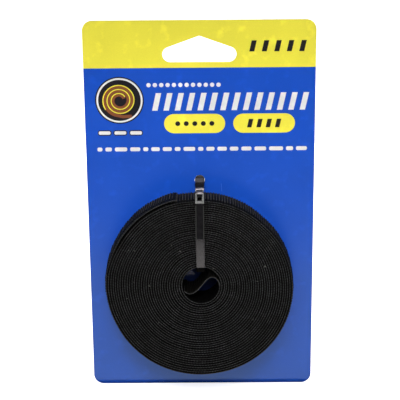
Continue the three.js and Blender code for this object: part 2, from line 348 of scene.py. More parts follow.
def badge(x=-30.9, z=-25.2):
    """A wound strip of tape in a roundel, over three small plates."""
    marks = [(circle(x, z, r, 72), ink) for r, ink in ((9.4, "black"), (8.9, "white"), (8.2, "black"))]
    end = [(x + 1.2, z - 6.55), (x + 4.6, z - 6.35)]
    wound = spiral(x, z, r0=1.9, r1=6.1, start=0.4, turn=2 * math.pi * 2.634) + end
    marks.append((stroke(wound, width=1.25), "brown"))
    gleam = spiral(x, z, r0=2.55, r1=6.55, start=0.6, turn=2 * math.pi * 2.5)
    marks.append((stroke(gleam, width=0.4), "yellow"))
    width, pitch = 5.4, 6.1
    for i in range(3):
        x0 = x - 8.8 + pitch * i
        for inset, ink in ((0, "black"), (0.4, "white")):
            plate = rounded(x0 + inset, x0 + width - inset, -39.4 + inset, -37.2 - inset, 1.0 - inset, 6)
            marks.append((plate, ink))
    return marks


def caption(start=-40.0, last=40.4, end=41.8, gap=1.15):
    """A line of uneven dashes."""
    dashes = np.random.default_rng(3)
    marks = []
    x = start
    while x < last:
        length = min(float(dashes.uniform(1.6, 5.6)), end - x)
        marks.append((rounded(x, x + length, z0=-45.8, z1=-44.2, r=0.6, steps=4), "white"))
        x += length + gap
    return marks


def artwork():
    """A generic print: outlines and their inks, each over those before."""
    marks = []
    for x0, x1 in ((-13.88, 9.75), (12.85, 36.73)):
        marks.append((rounded(x0, x1, z0=-38.6, z1=-30.8, r=3.9, steps=18), "yellow"))
    marks += bars("black", 5, x=20.4, pitch=4.75, foot=-6.2, top=-1.9, width=1.9)
    marks += bars("white", 14, x=-16.6, pitch=4.37, foot=-29.4, top=-22.4, width=2.1)
    marks += dots("white", 12, x=-19.6, pitch=2.44, z=-19.2, radius=0.85, steps=20)
    marks += dots("black", 5, x=-8.6, pitch=3.3, z=-34.7, radius=0.95, steps=24)
    marks += bars("black", 4, x=19.4, pitch=3.6, foot=-36.4, top=-33.0, width=1.7)
    marks += caption() + badge()
    marks.append((SCRATCH, "scuff"))
    # A darker blue disc behind the roll's bore: painted shade where the roll keeps the light off.
    marks.append((circle(BORE_X, BORE_Z, r=10), "bore_shade"))
    return marks


def inside(polygon, x, z):
    odd = False
    previous = polygon[-1]
    for point in polygon:
        if (point[1] > z) != (previous[1] > z):
            if x < point[0] + (z - point[1]) * (previous[0] - point[0]) / (previous[1] - point[1]):
                odd = not odd
        previous = point
    return odd


def triangulate(outline, holes, lines):
    """Triangles of an outline with holes and lines drawn in it, and the triangles' middles."""
    points, edges = [], []
    for loop in [outline, *holes, *lines]:
        first = len(points)
        points += loop
        edges += [(first + i, first + (i + 1) % len(loop)) for i in range(len(loop))]
    made = delaunay_2d_cdt([Vector(p) for p in points], edges, [], 0, WELD / 10)
    spots, faces = made[0], made[2]
    kept, centres = [], []
    for face in faces:
        x = sum(spots[i].x for i in face) / len(face)
        z = sum(spots[i].y for i in face) / len(face)
        if inside(outline, x, z) and not any(inside(hole, x, z) for hole in holes):
            kept.append(face)
            centres.append((x, z))
    return [(p.x, p.y) for p in spots], kept, centres


def card_loops(inset):
    """The card's outline and its three holes, each drawn in from the board's real edge."""
    outline = rounded(-CARD_X + inset, CARD_X - inset, CARD_BOTTOM + inset, CARD_TOP - inset,
                      CARD_CORNER - inset)
    holes = [hang_hole(inset)]
    holes += [circle(TIE_X, z, TIE_HOLE_R + inset) for z in (UPPER_HOLE_Z, LOWER_HOLE_Z)]
    return outline, holes


def ink_at(x, z, marks, limits):
    """The ink on top at a place. limits has each mark's least and greatest corner."""
    ink = "yellow" if z > HEADER_Z else "blue"
    for (mark, over), ((x0, z0), (x1, z1)) in zip(marks, limits):
        if x0 <= x <= x1 and z0 <= z <= z1 and inside(mark, x, z):
            ink = over
    return ink


def header_card():
    """The printed board: its front in inks, its back and its rounded edges bare."""
    inks = list(INKS)
    board = len(inks)
    outline, holes = card_loops(CARD_EDGE)
    marks = artwork()
    limits = [(np.min(mark, 0), np.max(mark, 0)) for mark, _ in marks]
    header_edge = [(-CARD_X, HEADER_Z), (CARD_X, HEADER_Z)]
    spots, faces, centres = triangulate(outline, holes, [header_edge, *[m for m, _ in marks]])
    vertices = [(x, -CARD_HALF, z) for x, z in spots]
    slots = [inks.index(ink_at(x, z, marks, limits)) for x, z in centres]
    start = len(vertices)
    spots, triangles, _ = triangulate(outline, holes, [])
    vertices += [(x, CARD_HALF, z) for x, z in spots]
    faces += [[start + i for i in reversed(face)] for face in triangles]
    slots += [board] * len(triangles)
    full_outline, full_holes = card_loops(0)
    for small, full in zip([outline, *holes], [full_outline, *full_holes]):
        first = len(vertices)
        rings = [(small, -CARD_HALF), (full, CARD_EDGE - CARD_HALF),
                 (full, CARD_HALF - CARD_EDGE), (small, CARD_HALF)]
        for loop, y in rings:
            vertices += [(x, y, z) for x, z in loop]
        walls = bridge(first, len(rings), len(small), closed_ends=False)
        faces += walls
        slots += [board] * len(walls)
    uvs = [(x * MM, z * MM) for x, _, z in vertices]
    return piece("header_card", vertices, faces, [*INKS.values(), BOARD], slots, uvs, weld=WELD)


# Hook and loop tape

ROLL_FRONT, ROLL_BACK = -13.3, -0.6
ROLL_X, ROLL_Z = -0.7, -98.5
BORE_X, BORE_Z = 0.0, -97.4
FIRST_RADIUS = 7.275
ROLL_RADIUS = 37.4
TURNS = 32 + 256.1 / 360
START = math.pi / 2
# The tape's ground, hooks and loops, the length of a pick and the plain front edge.
GROUND = 0.32
HOOK_RISE = 0.3
PILE = 0.25
PICK = 1.1
SELVEDGE = 1.6
CHAMFER = 0.12
FLAT_SHARE = 0.45
LAST_RADIUS = ROLL_RADIUS - HOOK_RISE - GROUND / 2 - 0.03
# Between picks, the ground is this share as thick, and its edges are notched.
SLIM_SHARE = 0.84
NOTCH = 0.11
# The inner end's S across the bore, in shares of the first turn's radius.
INNER_END_SHARES = [
    (0.92, 0.28), (0.77, 0.44), (0.57, 0.49), (0.37, 0.4), (0.18, 0.2),
    (-0.01, -0.03), (-0.22, -0.27), (-0.45, -0.43), (-0.7, -0.46), (-0.91, -0.32),
]
TURN_SAMPLES = 13200
# Clockwise from the top in degrees, how far the outermost turn stands off a true circle.
OUT_OF_ROUND = [
    (0, -0.28), (12, -0.1), (30, -0.1), (45, -0.3), (60, 0), (90, 0.2), (110, 0.45), (130, 0.6),
    (150, 0.7), (180, 0.4), (210, 0.1), (230, -0.3), (245, -0.5), (260, -0.3), (270, 0), (280, 0.15),
    (290, -0.1), (300, -0.4), (310, -0.35), (320, -0.05), (342, 0.1), (352, -0.2), (360, -0.28),
]
# The same for how far the turns' back edges are drawn in from their front ones.
BACK_DRAWN_IN = [(0, 0.35), (15, 0.45), (60, 0.45), (85, 0), (300, 0), (360, 0.35)]
# How far forward the roll leans at its top, and the length over which its waver sets in.
TAPE_TILT = 1.3
WAVER_START = 20
# The outer end lifts and swells over its last stretch, more in front than behind.
LIFT_LENGTH, LIFT_RAMP = 38.0, 13
FRONT_LIFT, BACK_LIFT = 0.68, 0.1
SWELL_SHARE = 0.35
NAP_OVERLAP = 0.03
# A ridge's section in shares of its length and rise, and its faces.
RIDGE_SHARES = [(-0.5, 0), (-0.34, 1), (0.34, 1), (0.5, 0)]
RIDGE_FACES = np.array([(0, 1, 2, 3), (4, 7, 6, 5), (0, 4, 5, 1), (1, 5, 6, 2), (2, 6, 7, 3), (3, 7, 4, 0)])
RIDGE_SUNK = 0.04
# A hook's arm as (reach, height), and how the hooks stand in a row.
HOOK_ARM = [(0.0, 0.1), (0.03, 0.2), (0.11, 0.26), (0.2, 0.21)]
HOOK_PITCH, HOOK_BACK_INSET = 0.75, 0.3
LINT_PLACES = [(-20.5, -97.2), (25.0, -89.1), (-8.2, -82.9)]
# Where the tuft that stands in for a glint in the bore sits.
TUFT_PLACE = (-4.3, -91.9)
FIRST_FIBRE = 120
# The woven edge's greys are a little blue, and the hook yarn's brown.
WOVEN_TINT, YARN_TINT = (1, 1, 1.08), (1, 0.92, 0.75)


def tape_edge(name, dark, pale):
    """The band's woven edge: dark nylon, paler where each pick turns."""
    f = Finish(name, roughness=0.8, specular=0.2)
    picks = f.ramp(f.waves(PICK, distortion=1.2), (0.15, 0.4), (0.7, 1.1))
    tone = f.cloud(1.6, (0.3, shade(WOVEN_TINT, dark)), (0.72, shade(WOVEN_TINT, pale)), detail=4)
    wear = f.cloud(5, (0.35, 0.75), (0.65, 1.2), detail=2)
    f.colour(f.product(tone, picks, wear))
    return f.bump(f.noise(0.12), distance=0.03, strength=0.8)


def tape_nap():
    """The loop side: a dull black nap of crossing fibres, darkened further as painted shade between the
    turns.
    """
    f = Finish("tape_pile", roughness=1.0, specular=0.01)
    f.colour(f.cloud(0.25, (0.35, 0.0008), (0.75, (0.004, 0.0038, 0.0038)), detail=6))
    return f.bump(f.noise(0.15, detail=6), distance=0.08)


def tape_hooks(name, dark, pale):
    """Hook yarn: black monofilament with a dull shine. Its darkest greys also paint shade, and the ribs'
    pale grey paints a highlight.
    """
    f = Finish(name, roughness=0.65, specular=0.06)
    f.colour(f.cloud(0.9, (0.3, shade(YARN_TINT, dark)), (0.75, shade(YARN_TINT, pale))))
    return f.bump(f.noise(0.1, detail=2), distance=0.02, strength=0.6)


def lint_fibre(name, rgb):
    f = Finish(name, roughness=0.8, specular=0.3)
    f.colour(f.cloud(0.6, (0.3, shade(rgb, 0.6)), (0.7, rgb), detail=2))
    return f.material


TAPE_GROUND = tape_edge("tape_ground", dark=0.01, pale=0.042)
TAPE_TAIL = tape_edge("tape_tail", dark=0.02, pale=0.042)
TAPE_PILE = tape_nap()
# Near black: the web's own black, darkened further as painted shade in the gaps between turns and on the
# ribs' flanks.
TAPE_WEB_SHADE = tape_hooks("tape_web_shade", dark=0.001, pale=0.004)
# Near black too: the hooks' own black, darkened further as painted shade in the rows between turns.
TAPE_HOOKS = tape_hooks("tape_hooks", dark=0.001, pale=0.005)
TAPE_SIDE = tape_hooks("tape_side", dark=0.003, pale=0.009)
# Pale tops for the rim's ribs: a painted highlight from the light above.
TAPE_RIB_HIGHLIGHT = tape_hooks("tape_rib_highlight", dark=0.02, pale=0.11)
FIBRE_DARK = lint_fibre("fibre_black", (0.03, 0.029, 0.027))
FIBRE_PALE = lint_fibre("fibre_pale", (0.3, 0.29, 0.27))
# Pale bluish fibres that stand in for a glint in the bore: a painted highlight.
FIBRE_TUFT_GLINT = lint_fibre("fibre_tuft_glint", (0.06, 0.06, 0.085))


def winding(angle):
    """The tape's middle, that far clockwise from the start of its first turn."""
    share = angle / (2 * math.pi * TURNS)
    radius = FIRST_RADIUS + (LAST_RADIUS - FIRST_RADIUS) * share
    x = BORE_X + (ROLL_X - BORE_X) * share
    z = BORE_Z + (ROLL_Z - BORE_Z) * share
    return np.array([x + math.sin(START + angle) * radius, z + math.cos(START + angle) * radius])


def part_way(p, q, t0, t1, t):
    """The point at t on the way from p at t0 to q at t1."""
    return (t1 - t) / (t1 - t0) * p + (t - t0) / (t1 - t0) * q


def smooth_through(points, steps):
    """A centripetal Catmull-Rom curve, from the second point to the last."""
    p = np.array(points, float)
    p = np.vstack([p, 2 * p[-1] - p[-2]])
    out = []
    for i in range(1, len(p) - 2):
        near = p[i - 1:i + 3]
        knots = [0]
        for k in range(3):
            knots.append(knots[-1] + np.linalg.norm(near[k + 1] - near[k]) ** 0.5)
        for t in np.linspace(knots[1], knots[2], steps, endpoint=False):
            a = [part_way(near[k], near[k + 1], knots[k], knots[k + 1], t) for k in range(3)]
            b = [part_way(a[k], a[k + 1], knots[k], knots[k + 2], t) for k in range(2)]
            out.append(part_way(*b, knots[1], knots[2], t))
    out.append(p[-2])
    return np.array(out)


def tape_line():
    """The tape's middle, from the tip of its inner end to its outer end, two points to each pick."""
    lead_in = winding(2 * math.pi / 30)
    inner = [(BORE_X + x * FIRST_RADIUS, BORE_Z + z * FIRST_RADIUS) for x, z in INNER_END_SHARES]
    tail = smooth_through([lead_in, winding(0), *inner], steps=40)[::-1]
    turns = np.array([winding(a) for a in np.linspace(0, 2 * math.pi * TURNS, TURN_SAMPLES)[1:]])
    line = np.vstack([tail, turns])
    along = lengths_along(line)
    places = np.linspace(0, along[-1], 2 * int(along[-1] / PICK) + 2)
    return points_at(places, along, line), places, along[len(tail) - 1]


def drift(places, spans, size):
    """Slow waver along the tape, about as large as asked."""
    total = np.zeros_like(places)
    for span in spans:
        total += np.sin(places / span * 2 * math.pi + rng.uniform(0, 2 * math.pi)) / len(spans)
    return total * size


def smooth_step(share):
    share = np.clip(share, 0, 1)
    return share * share * (3 - 2 * share)


class Tape:
    """The wound strip, as arrays along its middle: the line, the ways outward and along, the depths of its
    two edges, and how far outward these are lifted, in the middle and on top."""

    def __init__(self):
        line, self.places, tail_length = tape_line()
        self.count = len(line)
        self.wound = self.places > tail_length
        self.rim = int(np.searchsorted(self.places, self.places[-1] - 2 * math.pi * LAST_RADIUS))
        out, _ = left_and_along(line)
        turned = np.clip((self.places - tail_length) / WAVER_START, 0, 1)
        line = line + out * (drift(self.places, (211, 97, 37), size=0.09) * turned)[:, None]
        x, z = (line - (ROLL_X, ROLL_Z)).T
        angle = np.degrees(np.arctan2(x, z)) % 360
        outer_share = turned * (np.hypot(x, z) / LAST_RADIUS) ** 2
        self.line = line + out * (np.interp(angle, *zip(*OUT_OF_ROUND)) * outer_share)[:, None]
        self.out, self.along = left_and_along(self.line)
        self.rise = smooth_step((LIFT_LENGTH - self.places[-1] + self.places) / LIFT_RAMP)
        drawn_in = np.interp(angle, *zip(*BACK_DRAWN_IN)) * outer_share
        self.lift = np.stack([self.rise * FRONT_LIFT, self.rise * BACK_LIFT - drawn_in], 1)
        self.top_lift = self.lift + (GROUND / 2 * SWELL_SHARE * self.rise)[:, None]
        lean = (self.line[:, 1] - ROLL_Z) / ROLL_RADIUS * TAPE_TILT
        wander = np.abs(drift(self.places, (173, 61, 23), size=0.16))
        wander += rng.uniform(0, 0.05, self.count)
        self.front = ROLL_FRONT + wander + lean
        wander = np.abs(drift(self.places, (149, 53, 19), size=0.12))
        self.back = ROLL_BACK - wander + np.minimum(lean, 0)

    def way(self, i, along, out):
        """A way in the roll's plane at a point of the line."""
        return self.along[i] * along + self.out[i] * out


def strip(name, tape, section, materials, slots):
    """Sweeps a closed section, given at each point as (outward, depth) pairs, along the tape.
    slots gives the material of each face along the strip and round the section."""
    around = section.shape[1]
    xz = tape.line[:, None, :] + tape.out[:, None, :] * section[:, :, :1]
    vertices = np.concatenate([xz[:, :, :1], section[:, :, 1:], xz[:, :, 1:]], axis=2).reshape(-1, 3)
    phase = np.where(tape.wound, np.arange(tape.count) * PICK / 2, PICK / 2)
    uvs = np.stack([np.repeat(phase, around) * MM, section[:, :, 1].ravel() * MM], 1)
    faces = bridge(0, tape.count, around)
    return piece(name, vertices, faces, materials, [*slots.ravel(), 0, 0], uvs, sharp=40)


def woven_ground(tape):
    """The woven band. Between the turns its two broad faces take a near-black finish, the web's own black
    and painted shade.
    """
    half = GROUND / 2
    between = tape.wound & (np.arange(tape.count) % 2 == 0)
    notch = np.where(between, NOTCH, 0)
    slim = np.where(between, SLIM_SHARE, 1) + SWELL_SHARE * tape.rise
    profile = [(-half, CHAMFER), (-half * FLAT_SHARE, 0), (half * FLAT_SHARE, 0), (half, CHAMFER)]
    section = np.zeros((tape.count, 2 * len(profile), 2))
    for k, (r, inset) in enumerate(profile):
        section[:, k] = np.stack([r * slim + tape.lift[:, 0], tape.front + inset + notch], 1)
        section[:, -1 - k] = np.stack([r * slim + tape.lift[:, 1], tape.back - inset - notch], 1)
    broad = np.array([0, 0, 0, 1, 0, 0, 0, 1])
    slots = np.where(tape.wound[:-1, None], broad, broad + 2)
    return strip("tape_ground", tape, section, [TAPE_GROUND, TAPE_WEB_SHADE, TAPE_TAIL, TAPE_SIDE], slots)


def loop_pile(tape):
    """The loops' nap, which fills the room between turns and is set back from the roll's faces."""
    half = GROUND / 2
    bedded = tape.wound & (np.arange(tape.count) < tape.rim)
    set_back = np.where(tape.wound, 0.45, 0.6) - 0.3 * tape.rise
    set_back += rng.uniform(0, 0.25, tape.count)
    inner = -half - PILE + rng.uniform(-NAP_OVERLAP, NAP_OVERLAP, tape.count)
    outer = np.where(bedded, half + HOOK_RISE + NAP_OVERLAP, half - NAP_OVERLAP)
    profile = [(outer, 0), (inner * 0.8, -0.05), (inner, 0.08)]
    section = np.zeros((tape.count, 2 * len(profile), 2))
    for k, (r, inset) in enumerate(profile):
        section[:, -k] = np.stack([r + tape.lift[:, 0], tape.front + set_back + inset], 1)
        section[:, 1 + k] = np.stack([r + tape.lift[:, 1], tape.back - set_back - inset], 1)
    # Nap between the turns takes the darker finish, painted shade; where it shows, it takes the tape's
    # side.
    shown = ~tape.wound | (tape.rise > 0.3)
    slots = np.repeat(shown[:-1, None].astype(int), section.shape[1], 1)
    return strip("tape_pile", tape, section, [TAPE_PILE, TAPE_SIDE], slots)


def ridges(tape, picks, length, rise, y0, y1, lift):
    """A low ridge across the tape's outer face at each pick, from one depth to another."""
    vertices = np.zeros((len(picks), 2 * len(RIDGE_SHARES), 3))
    k = 0
    for y, edge_lift in zip((y0, y1), lift[picks].T):
        base = GROUND / 2 - RIDGE_SUNK + edge_lift
        for share, top in RIDGE_SHARES:
            xz = tape.line[picks] + tape.along[picks] * (length * share)[:, None]
            xz += tape.out[picks] * (base + rise * top)[:, None]
            vertices[:, k] = np.stack([xz[:, 0], y, xz[:, 1]], 1)
            k += 1
    faces = np.arange(len(picks))[:, None, None] * vertices.shape[1] + RIDGE_FACES
    return vertices.reshape(-1, 3), faces.reshape(-1, 4)


def hook_rows(tape, picks):
    """The rows of hooks between the turns, whose ends show faintly."""
    length = rng.uniform(0.4, 0.62, len(picks))
    rise = rng.uniform(0.17, 0.25, len(picks))
    inset = np.where(tape.wound[picks], rng.uniform(0.3, 0.6, len(picks)), 0.7)
    front, back = tape.front[picks] + inset, tape.back[picks] - inset
    vertices, faces = ridges(tape, picks, length, rise, front, back, tape.lift)
    return piece("tape_hook_rows", vertices, faces, [TAPE_HOOKS], sharp=50)


def rim_ribs(tape, picks):
    """The low ribs that carry the hooks across the outermost turn. Their tops are pale, a painted
    highlight, and their other faces near black, painted shade.
    """
    length = rng.uniform(0.28, 0.5, len(picks))
    rise = rng.uniform(0.28, 0.46, len(picks))
    front = tape.front[picks] + SELVEDGE + rng.uniform(-0.2, 0.2, len(picks))
    back = tape.back[picks] - 0.06
    vertices, faces = ridges(tape, picks, length, rise, front, back, tape.top_lift)
    # Tops pale as a painted highlight, the other faces in the near-black web as painted shade.
    slots = np.tile([0, 0, 0, 1, 0, 0], len(picks))
    return piece("tape_rim_ribs", vertices, faces, [TAPE_WEB_SHADE, TAPE_RIB_HIGHLIGHT], slots, sharp=50)


def outer_hooks(tape, picks):
    """The hooks themselves, on the outermost turn."""
    vertices, faces = [], []
    for i in picks:
        edges = (tape.front[i], tape.back[i])
        for y in np.arange(edges[0] + SELVEDGE, edges[1] - HOOK_BACK_INSET, HOOK_PITCH):
            side = 1 if rng.uniform() < 0.5 else -1
            lean = rng.uniform(-0.06, 0.06) - 0.08 * side
            depth = y + rng.uniform(-0.1, 0.1)
            foot = GROUND / 2 + np.interp(depth, edges, tape.top_lift[i])
            start = len(vertices)
            for n, (reach, height) in enumerate(HOOK_ARM):
                size = 0.07 * (1 - 0.12 * n)
                centre = tape.line[i] + tape.way(i, reach * side + lean, foot + height)
                for a, b in ((-1, -1), (1, -1), (1, 1), (-1, 1)):
                    xz = centre + tape.along[i] * size * a
                    vertices.append((xz[0], depth + size * b, xz[1]))
            faces += bridge(start, len(HOOK_ARM), 4)
    return piece("tape_hooks_outer", vertices, faces, [TAPE_HOOKS], sharp=60)


def scatter(*halves):
    """Random values, each up to its half range either side of nought."""
    return np.array([rng.uniform(-half, half) for half in halves])


def at(xz, y):
    """A place or a way in space, from its part in the roll's plane and its depth."""
    return np.array([xz[0], y, xz[1]])


def threads(name, fibres, radius, material, rings=5, sides=3):
    """Tapering curved fibres, each from its root, its way and its bend."""
    vertices, faces = [], []
    for root, way, bend in fibres:
        side = unit(np.cross(way, (0, 1, 0.01)))
        up = unit(np.cross(side, way))
        start = len(vertices)
        for n in range(rings):
            t = n / (rings - 1)
            centre = root + way * t + bend * t * t
            size = radius * (1 - 0.5 * t)
            for k in range(sides):
                a = 2 * math.pi * k / sides
                vertices.append(tuple(centre + side * size * math.cos(a) + up * size * math.sin(a)))
        faces += bridge(start, rings, sides)
    return piece(name, vertices, faces, [material], sharp=80)


def loose_loops(tape):
    """Broken loops that stand out of the windings' front."""
    fibres = []
    for i in rng.integers(FIRST_FIBRE, tape.count - 2, 900):
        root = at(tape.line[i] + tape.out[i] * rng.uniform(-0.45, -0.15), tape.front[i] + 0.25)
        way = at(tape.way(i, *scatter(0.8, 0.35)), rng.uniform(-0.25, -0.12))
        bend = at(tape.way(i, *scatter(0.3, 0.3)), rng.uniform(0.02, 0.15))
        fibres.append((root, way, bend))
    return fibres


def frayed_end(tape):
    """The cut threads of the tape's outer end."""
    fibres = []
    for y in np.arange(ROLL_FRONT + 0.3, ROLL_BACK - 0.2, 0.16):
        rise = np.interp(y, (ROLL_FRONT, ROLL_BACK), tape.lift[-1]) + rng.uniform(-0.15, 0.15)
        root = at(tape.line[-1] + tape.out[-1] * rise - tape.along[-1] * 0.1, y)
        way = at(tape.way(-1, rng.uniform(0.3, 0.75), rng.uniform(-0.25, 0.15)), rng.uniform(-0.2, 0.2))
        bend = at(tape.out[-1] * rng.uniform(-0.4, 0.1), rng.uniform(-0.1, 0.1))
        fibres.append((root, way, bend))
    return fibres


def lint(tape):
    """Pale lint on the roll's face: single fibres all over, and a few small knots of them."""
    roots = [at(tape.line[i], tape.front[i] + 0.02) for i in rng.integers(FIRST_FIBRE, tape.count - 2, 26)]
    for x, z in LINT_PLACES:
        roots += [at((x, z), ROLL_FRONT + (z - ROLL_Z) / ROLL_RADIUS * TAPE_TILT + 0.05)] * 4
    return [(root, at(scatter(0.7, 0.7), -0.03), at(scatter(0.3, 0.3), 0.02)) for root in roots]


def tuft():
    """A tuft of pale bluish fibres between the strap and the bore's upper edge: a painted highlight that
    stands in for a glint there.
    """
    fibres = []
    for _ in range(130):
        x = TUFT_PLACE[0] + rng.normal(0, 0.75)
        z = TUFT_PLACE[1] + rng.normal(0, 0.4) - abs(x - TUFT_PLACE[0]) * 0.35
        root = at((x, z), ROLL_FRONT + rng.uniform(0.6, 1.4))
        fibres.append((root, scatter(0.9, 0.3, 0.35), scatter(0.4, 0.2, 0.3)))
    return fibres


def tape_pieces():
    """The roll. The pieces are made in this order, which the random draws depend on."""
    tape = Tape()
    hooked = np.arange(1, tape.count - 1, 2)
    return [
        woven_ground(tape),
        loop_pile(tape),
        hook_rows(tape, hooked[hooked < tape.rim]),
        rim_ribs(tape, hooked[hooked >= tape.rim]),
        outer_hooks(tape, hooked[hooked >= tape.rim]),
        threads("tape_loose_loops", loose_loops(tape) + frayed_end(tape), 0.03, FIBRE_DARK),
        threads("tape_lint", lint(tape), 0.045, FIBRE_PALE),
        threads("tape_tuft", tuft(), 0.03, FIBRE_TUFT_GLINT),
    ]


# Cable tie

STRAP_W, STRAP_T = 3.5, 1.1
RAIL = 0.45
FRONT_ROUND, BACK_ROUND, ROUND_MIDDLE = 0.24, 0.12, 0.08
# A tooth's length and its floor's depths at shares of it. The strap has none near the head.
TOOTH = 1.2
TOOTH_SHARES = [(0, 0.0), (0.12, 0.4), (0.88, 0.02), (0.999, 0.0)]
SMOOTH_END = 33.0
HEAD_FLOOR, HEAD_TOP = -61.961, -57.711
HEAD_FRONT, HEAD_BACK = -15.2, -9.7
HEAD_SKIRT = HEAD_FLOOR - 0.25
HEAD_HALF = 1.68
HEAD_ROUND = 0.14
SLOT_Z = -58.961
CUT_OVERRUN = 1.0
FRONT_RUN_Y, BACK_RUN_Y = -14.15, 1.15
STRAP_END_Z = HEAD_FLOOR + 0.3
TAIL_TIP = -14.85
# The bulge's reach behind the card, where the strap meets the back below it, and the bends' radii.
BULGE, BULGE_DROP = 5.0, 11
BENDS = [1.2, 1.8, 12, 0.95, 0.95]
# The sunk panel in the strap's front, below the head.
PANEL_TOP, PANEL_BOTTOM = -63.12, -77.12
PANEL_DEPTH, PANEL_EDGE = 0.2, 0.12
TIP_LENGTH = 0.15
RING_STEP, LEAST_STEP = 1.5, 0.01
# The strap's widths at places from its tip and then from its head, and its sway from the middle.
TIP_PLACES, HEAD_PLACES = [0, 4.6, 5.6, 9.5, 12.5, 17, 22], [28, 16]
WIDTH_SHARES = [0.6, 0.62, 0.8, 0.86, 1.09, 1.09, 0.93, 0.93, 1]
SWAY_PLACES, SWAYS = [45, 30, 14], [0, 0.2, 0]
# The panel's faces round the strap's section, and those of the rubbed rails beside it.
PANEL_FACES, RAIL_FACES = [3, 4, 5], [1, 2, 6, 7]
# The tail is dull up to DULL_END, and round the lower hole the strap is darkened to near black, painted
# shade.
DULL_END, SHADE_ABOVE_HOLE = 11.6, 1.1
NYLON_DARK, NYLON_PALE = (0.008, 0.008, 0.009), (0.016, 0.015, 0.017)


def nylon(name, roughness, specular=0.38, depth=1.0):
    """Moulded black nylon, with faint flow marks and fine scratches."""
    f = Finish(name, roughness, specular, Specular_Tint=(0.98, 0.9, 1, 1))
    f.colour(f.cloud(1.5, (0.3, shade(NYLON_DARK, depth)), (0.7, shade(NYLON_PALE, depth))))
    dull, bright = roughness * 1.35, roughness * 0.8
    f.roughness(f.cloud(0.9, (0.3, bright), (0.75, dull), detail=5, stretch=(1, 1, 0.25)))
    return f.bump(f.noise(0.7), distance=0.01, strength=0.35)


def nylon_toned_edge(name, dark, pale, specular=0.5):
    """The moulding's proud edges in greys of their own: the strap's rails rubbed dull, the head's pale
    edges a painted highlight.
    """
    f = Finish(name, 0.35, specular)
    f.colour(f.cloud(0.8, (0.3, dark), (0.7, pale), detail=4))
    return f.bump(f.noise(0.4), distance=0.01, strength=0.4)


NYLON = nylon("nylon_black", 0.14)
NYLON_PANEL = nylon("nylon_panel", 0.45, specular=0.02, depth=0.75)
# A near-black copy of the nylon: painted shade for the strap round the lower hole.
NYLON_SHADED = nylon("nylon_shaded", 0.6, specular=0.01, depth=0.08)
NYLON_RUBBED = nylon_toned_edge("nylon_toned_edge", dark=0.003, pale=0.009, specular=0.36)
# Pale grey on the black head: a painted highlight on its edges.
NYLON_EDGE_HIGHLIGHT = nylon_toned_edge("nylon_edge_highlight", dark=0.12, pale=0.2)


def strap_line():
    """The strap's middle in depth and height, from the tail's tip to the head's root."""
    corners = np.array([
        (TAIL_TIP, SLOT_Z), (SLOT_Z - UPPER_HOLE_Z, SLOT_Z), (BULGE, UPPER_HOLE_Z + BULGE),
        (BACK_RUN_Y, UPPER_HOLE_Z - BULGE_DROP), (BACK_RUN_Y, LOWER_HOLE_Z),
        (FRONT_RUN_Y, LOWER_HOLE_Z), (FRONT_RUN_Y, STRAP_END_Z),
    ])
    points = [corners[0]]
    for before, corner, after, bend in zip(corners, corners[1:], corners[2:], BENDS):
        into, away = unit(corner - before), unit(after - corner)
        turn = math.acos(max(-1, min(1, float(into @ away))))
        hand = math.copysign(1, into[0] * away[1] - into[1] * away[0])
        start = corner - into * bend * math.tan(turn / 2)
        centre = start + np.array([-into[1], into[0]]) * hand * bend
        arm = start - centre
        steps = max(3, math.ceil(turn / math.radians(6)))
        for k in range(steps + 1):
            a = hand * turn * k / steps
            points.append(centre + np.array([arm[0] * math.cos(a) - arm[1] * math.sin(a),
                                             arm[0] * math.sin(a) + arm[1] * math.cos(a)]))
    return np.array([*points, corners[-1]])


def tooth_floors(total):
    """How deep the teeth are cut into the strap's back, as (place, depth) pairs."""
    floors = [(0.0, 0.0)]
    tooth = TOOTH
    while tooth + TOOTH < total - SMOOTH_END:
        floors += [(tooth + share * TOOTH, depth) for share, depth in TOOTH_SHARES]
        tooth += TOOTH
    floors.append((total, 0.0))
    return np.array(floors)


def strap_stops(along, floors, panel_places):
    """The places of the strap's rings: its bends, teeth, panel edges and even steps between them."""
    total = along[-1]
    stops = set(np.round(along, 4)) | set(np.round(floors[:, 0], 4))
    stops |= {round(s, 4) for s in (*panel_places, TIP_LENGTH, total)}
    stops |= set(np.round(np.arange(0, total, RING_STEP), 4))
    stops = np.array(sorted(stops))
    return stops[np.concatenate([[True], np.diff(stops) > LEAST_STEP])]


def strap_ring(w, sunk, cut, squeeze):
    """The strap's section as (across, back) pairs: a panel between two rails in front, teeth behind."""
    h = STRAP_T / 2
    front = [
        (w - RAIL - 0.06, -h + sunk), (w - RAIL + 0.04, -h), (w - FRONT_ROUND, -h),
        (w - ROUND_MIDDLE, -h + ROUND_MIDDLE), (w, -h + FRONT_ROUND),
    ]
    back = [(w, h - BACK_ROUND), (w - BACK_ROUND, h), (w - RAIL, h), (w - RAIL - 0.03, h - cut)]
    ring = [(-a, b) for a, b in reversed(front)] + front + back + [(-a, b) for a, b in reversed(back)]
    return [(a * squeeze, b * squeeze) for a, b in ring]


